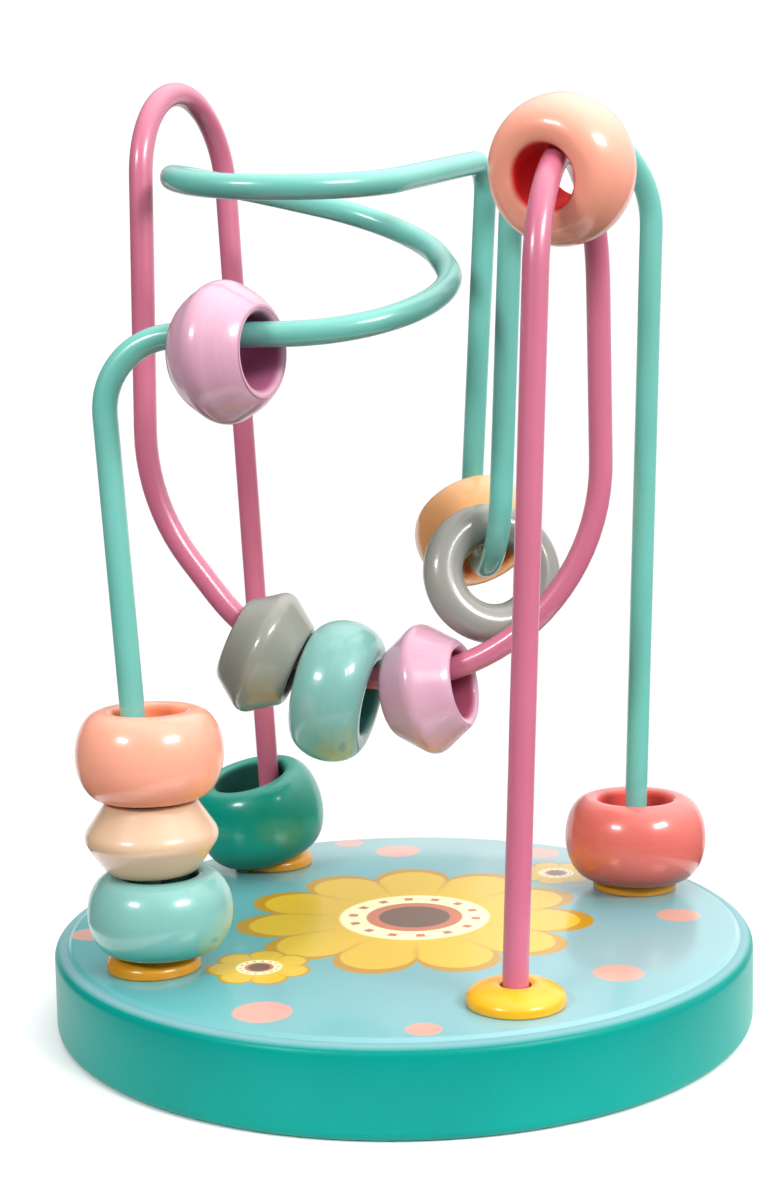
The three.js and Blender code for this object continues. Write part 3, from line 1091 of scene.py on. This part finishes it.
@dataclass
class Studio:
    """Pale floor, soft lamps, a sky and the camera.

    The floor and lamps are in metres, and the camera's place in millimetres and degrees.
    """

    floor_radius: float = 0.07
    floor_sides: int = 96
    floor_colour: Triple = (0.93, 0.93, 0.93)
    floor_shade: Triple = (0.91, 0.91, 0.91)
    floor_roughness: float = 0.9
    sky_low: float = 0.05
    sky_high: float = 2.5
    sky_curve: float = 2.0
    sky_lean: Triple = (0.38, 0.15, 0.91)
    backdrop: float = 1.05
    aim: Triple = (0.0, 0.0, 0.05)
    lamps: tuple[Lamp, ...] = (
        Lamp("right_front", (0.42, -0.42, 0.42), 0.28, 0.14, 3.5),
        Lamp("left_front", (-0.40, -0.45, 0.40), 0.18, 0.1, 2.2),
        Lamp("front_fill", (-0.10, -0.58, 0.30), 0.5, 0.4, 0.65, mirrored=False),
        Lamp("left_fill", (-0.65, 0.10, 0.22), 0.4, 0.4, 0.5, mirrored=False),
        Lamp("right_fill", (0.64, -0.12, 0.10), 0.3, 0.3, 0.35, mirrored=False),
        Lamp("back_glow", (0.0, 0.65, -0.05), 1.2, 0.34, 1.2),
        Lamp("right_back", (0.30, 0.75, 0.24), 0.55, 0.25, 0.22),
    )
    image: tuple[int, int] = (779, 1200)
    focal_pixels: float = 1760.0
    sensor: float = 36.0
    nearest: float = 0.01
    distance: float = 224.52
    height: float = 79.42
    pitch: float = 6.662
    yaw: float = -0.244
    roll: float = -1.139

    def lay_floor(self) -> None:
        """Lays the round floor."""
        Bench.clear()
        bpy.ops.mesh.primitive_circle_add(
            vertices=self.floor_sides, radius=self.floor_radius, fill_type="NGON"
        )
        floor = Bench.name("floor")
        web = Web("pale_floor")
        shade = web.spread(web.noise(6, 2), 0.3, 0.7, 0, 0.3)
        colour = web.mix(shade, self.floor_colour, self.floor_shade)
        web.set(Base_Color=colour, Roughness=self.floor_roughness)
        floor.data.materials.append(web.material)

    def hang_lamps(self) -> None:
        """Hangs the lamps, all facing the toy."""
        for lamp in self.lamps:
            data = bpy.data.lights.new(lamp.label, "AREA")
            data.shape = "RECTANGLE"
            data.size = lamp.width
            data.size_y = lamp.height
            data.energy = lamp.power
            item = bpy.data.objects.new(lamp.label, data)
            bpy.context.scene.collection.objects.link(item)
            item.visible_camera = False
            item.visible_glossy = lamp.mirrored
            item.location = lamp.place
            facing = Vector(self.aim) - item.location
            item.rotation_euler = facing.to_track_quat("-Z", "Y").to_euler()

    def spread_sky(self) -> None:
        """Sets a sky that is brightest overhead, and a white background for the camera alone."""
        world = bpy.data.worlds.new("white_sky")
        bpy.context.scene.world = world
        world.use_nodes = True
        nodes, links = world.node_tree.nodes, world.node_tree.links

        def reckon(kind: str, value: bpy.types.NodeSocket, *numbers: float) -> bpy.types.NodeSocket:
            """One sum on an output and some numbers."""
            node = nodes.new("ShaderNodeMath")
            node.operation = kind
            links.new(value, node.inputs[0])
            for socket, number in zip(node.inputs[1:], numbers):
                socket.default_value = number
            return node.outputs[0]

        ray = nodes.new("ShaderNodeTexCoord")
        rise = nodes.new("ShaderNodeVectorMath")
        rise.operation = "DOT_PRODUCT"
        rise.inputs[1].default_value = Vector(self.sky_lean).normalized()
        links.new(ray.outputs["Generated"], rise.inputs[0])
        above = reckon("POWER", reckon("MAXIMUM", rise.outputs["Value"], 0), self.sky_curve)
        lit = nodes["Background"]
        lit.inputs["Color"].default_value = (1, 1, 1, 1)
        glow = reckon("MULTIPLY_ADD", above, self.sky_high, self.sky_low)
        links.new(glow, lit.inputs["Strength"])
        seen = nodes.new("ShaderNodeBackground")
        seen.inputs["Color"].default_value = (1, 1, 1, 1)
        seen.inputs["Strength"].default_value = self.backdrop
        path = nodes.new("ShaderNodeLightPath")
        blend = nodes.new("ShaderNodeMixShader")
        links.new(path.outputs["Is Camera Ray"], blend.inputs[0])
        links.new(lit.outputs[0], blend.inputs[1])
        links.new(seen.outputs[0], blend.inputs[2])
        links.new(blend.outputs[0], nodes["World Output"].inputs["Surface"])
        bpy.context.scene.view_settings.view_transform = "Standard"

    def set_camera(self) -> None:
        """Sets the camera where the photograph was taken from."""
        pitch, yaw, roll = (math.radians(a) for a in (self.pitch, self.yaw, self.roll))
        onward = Vector((math.sin(yaw), math.cos(yaw), 0)) * math.cos(pitch)
        ahead = onward - Vector((0, 0, math.sin(pitch)))
        level = Vector((math.cos(yaw), -math.sin(yaw), 0))
        above = level.cross(ahead)
        right = level * math.cos(roll) + above * math.sin(roll)
        up = above * math.cos(roll) - level * math.sin(roll)
        data = bpy.data.cameras.new("camera")
        data.sensor_width = self.sensor
        data.sensor_fit = "AUTO"
        data.lens = self.focal_pixels / max(self.image) * self.sensor
        data.clip_start = self.nearest
        camera = bpy.data.objects.new("camera", data)
        bpy.context.scene.collection.objects.link(camera)
        turn = Matrix((right, up, -ahead)).transposed().to_4x4()
        stand = Vector((0, -self.distance, self.height)) * MM
        camera.matrix_world = Matrix.Translation(stand) @ turn
        bpy.context.scene.camera = camera

    def set_up(self) -> None:
        """Builds the whole studio."""
        self.lay_floor()
        self.hang_lamps()
        self.spread_sky()
        self.set_camera()


# What this toy is made of

PINK_COAT = WireCoat("pink_wire_coat", "CC708B", "BF627D")
TEAL_COAT = WireCoat("teal_wire_coat", "73BFB3", "60B0A3")
# The fourth colour of each lacquer is painted shade in its bore.
MINT = Lacquer("mint_lacquer", "7DB3AB", "6CA69E", "2E7F78")
# The foot colours are painted shade on the beads' lower ends.
MINT_UNDERSHADED = Lacquer("mint_undershaded_lacquer", "7DB3AB", "6CA69E", "2E7F78", foot="189C8A")
BEIGE = Lacquer("beige_lacquer", "D9B698", "CFAA88", "C98855", foot="C4A080")
PEACH = Lacquer("peach_lacquer", "F6A98E", "ED987D", "FF8A60", foot="E58A6A")
DARK_TEAL = Lacquer("dark_teal_lacquer", "009682", "008370", "06564A", coat=0.3, foot="006B53")
CORAL = Lacquer("coral_lacquer", "D26A60", "C6584F", "D84A40", foot="A84430")
LILAC = Lacquer("lilac_lacquer", "D6A4B8", "C992A8", "B06084")
PINK = Lacquer("pink_lacquer", "CB9DB0", "C08CA1", "A84C6A")
GREY = Lacquer("grey_lacquer", "93958B", "86887E", "45463F")
RING_GREY = Lacquer("ring_grey_lacquer", "94948C", "87877E", "6E6F68")
ORANGE = Lacquer("orange_lacquer", "FFBB7C", "F8A868", "C8602C")
SALMON = Lacquer("salmon_lacquer", "FFAD94", "F69C82", "E8141C")

WIRES = (
    BentWire(
        "pink_wire", "wire_pink", PINK_COAT, Post.FRONT, Post.REAR,
        (
            Corner(16.3, -30.5, 106.7, 14.5),
            Corner(25.6, -3.0, 106.7, 14.5),
            Corner(26.2, -3.0, 38.0, 27.7),
            Corner(-17.0, 3.0, 45.1, 27.7),
            Corner(-32.4, 5.0, 66.0, 27.7),
            Corner(-31.5, 5.0, 117.4, 12.0),
            Corner(-23.4, 27.0, 122.0, 12.0),
        ),
    ),
    BentWire(
        "teal_wire", "wire_teal", TEAL_COAT, Post.LEFT, Post.RIGHT,
        (
            Corner(-34.4, -16.5, 86.7, 8.65),
            Corner(11.0, -23.5, 86.4, 17.3),
            Corner(4.0, 14.9, 101.4, 17.3),
            Corner(-33.6, 14.1, 110.4, 15.7),
            Corner(-13.6, -37.8, 98.7, 15.7),
            Corner(13.2, 17.0, 110.4, 3.9),
            Corner(10.2, 21.5, 56.4, 12.0),
            Corner(13.1, 0.0, 56.4, 12.0),
            Corner(15.6, -1.0, 112.2, 11.2),
            Corner(34.7, 11.0, 111.4, 11.2),
        ),
    ),
)

BEADS = (
    Bead("bead_stack_bottom", BeadForm.DRUM, MINT_UNDERSHADED),
    Bead("bead_stack_middle", BeadForm.BICONE, BEIGE),
    Bead("bead_stack_top", BeadForm.DRUM, PEACH),
    Bead("bead_rear_post", BeadForm.DRUM, DARK_TEAL),
    Bead("bead_right_post", BeadForm.DRUM, CORAL),
    Bead("bead_coil", BeadForm.BICONE, LILAC, ridge_depth=0.8, ridge_half_width=1.8, bulge=0.2),
    Bead("bead_swing_right", BeadForm.BICONE, PINK, end_diameter=11.0),
    Bead("bead_swing_middle", BeadForm.DRUM, MINT),
    Bead("bead_swing_left", BeadForm.BICONE, GREY),
    Bead("bead_arch", BeadForm.DRUM, SALMON),
    Bead("bead_dip", BeadForm.DRUM, ORANGE),
    Bead("ring_dip", BeadForm.RING, RING_GREY),
)


def main() -> None:
    """Builds the studio, the fixed frame and the beads, and logs each piece's face count."""
    logging.basicConfig(level=logging.INFO, format="%(name)s: %(message)s")
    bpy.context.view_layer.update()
    Studio().set_up()
    board = Board()
    board.dress()
    Collars().dress(board)
    for wire in WIRES:
        wire.dress(board)
    for bead in BEADS:
        bead.dress()


if __name__ == "__main__":
    main()
